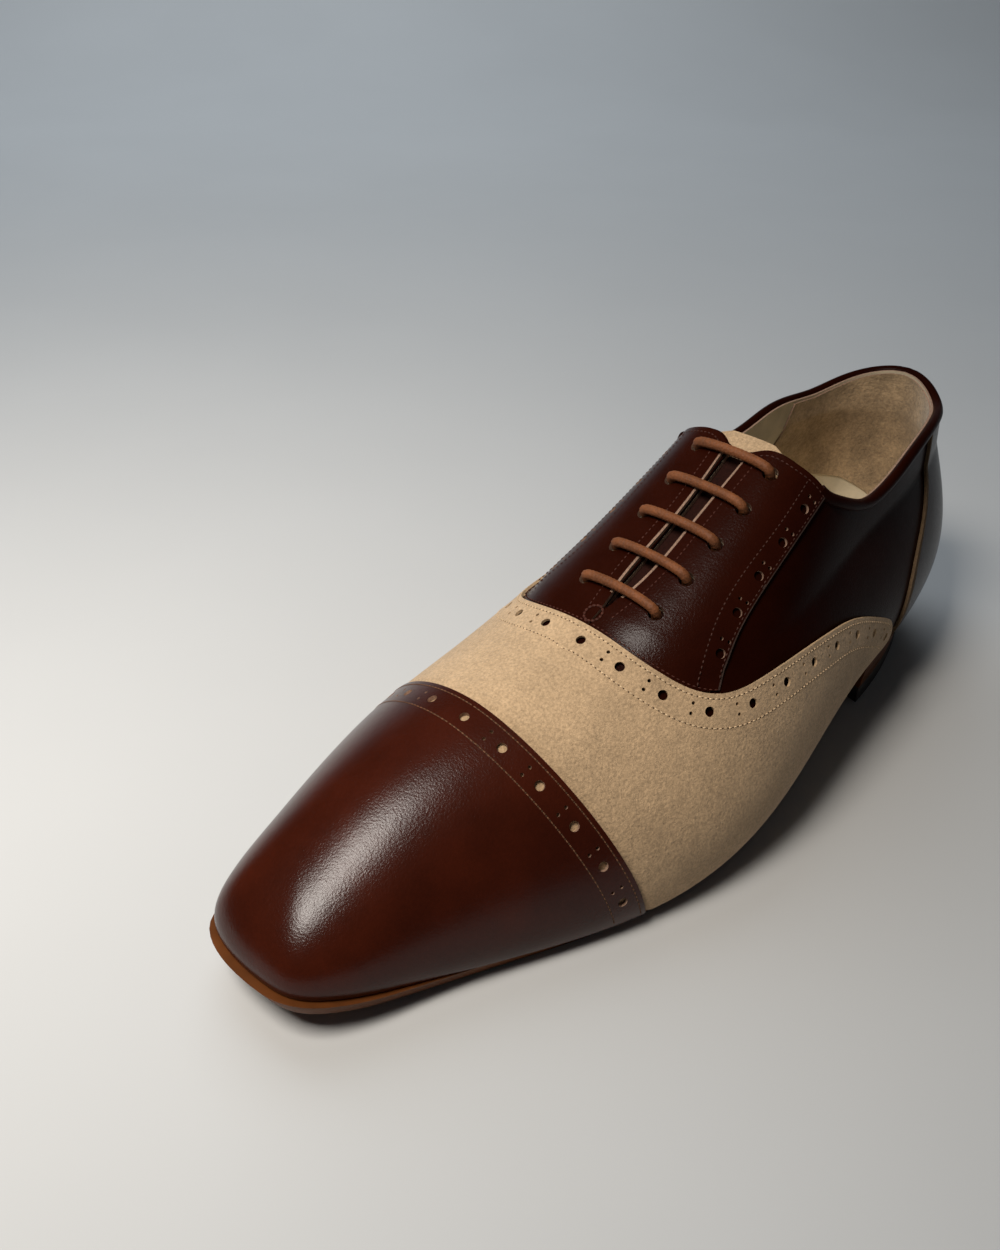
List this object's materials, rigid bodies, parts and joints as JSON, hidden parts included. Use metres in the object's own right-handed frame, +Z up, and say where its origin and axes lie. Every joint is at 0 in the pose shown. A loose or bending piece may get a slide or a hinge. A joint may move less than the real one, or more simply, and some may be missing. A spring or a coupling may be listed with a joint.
{
  "type": "spectator shoe",
  "caption": "Two-tone closed-lacing dress shoe on a leather sole with a low stacked heel, cap toe, suede vamp with side wings, laced eyestay and hollow upper.",
  "frame": {"origin": "middle of the shoe's box, on the floor plane", "axes": "+Z up, +Y from toe to heel along the shoe, +X to the outer side of the left foot"},
  "size_m": [0.111, 0.3097, 0.106],
  "materials": {
    "brown_leather": "polished dark red-brown calf",
    "beige_suede": "napped beige suede",
    "waxed_lace": "round waxed cotton",
    "lining_leather": "smooth cream lining leather",
    "sole_leather": "natural tan sole leather with a dressed edge",
    "heel_rubber": "matt black"
  },
  "bodies": {
    "root": {"outsole": "sole_leather", "heel_stack": "sole_leather", "heel_top_piece": "heel_rubber", "insole": "lining_leather", "upper": "brown_leather", "toe_cap": "brown_leather", "vamp": "beige_suede", "facing_lateral": "brown_leather", "facing_medial": "brown_leather", "heel_counter": "brown_leather", "tongue": "beige_suede", "lace_bar_1": "waxed_lace", "lace_bar_2": "waxed_lace", "lace_bar_3": "waxed_lace", "lace_bar_4": "waxed_lace", "lace_bar_5": "waxed_lace"}
  },
  "joints": []
}
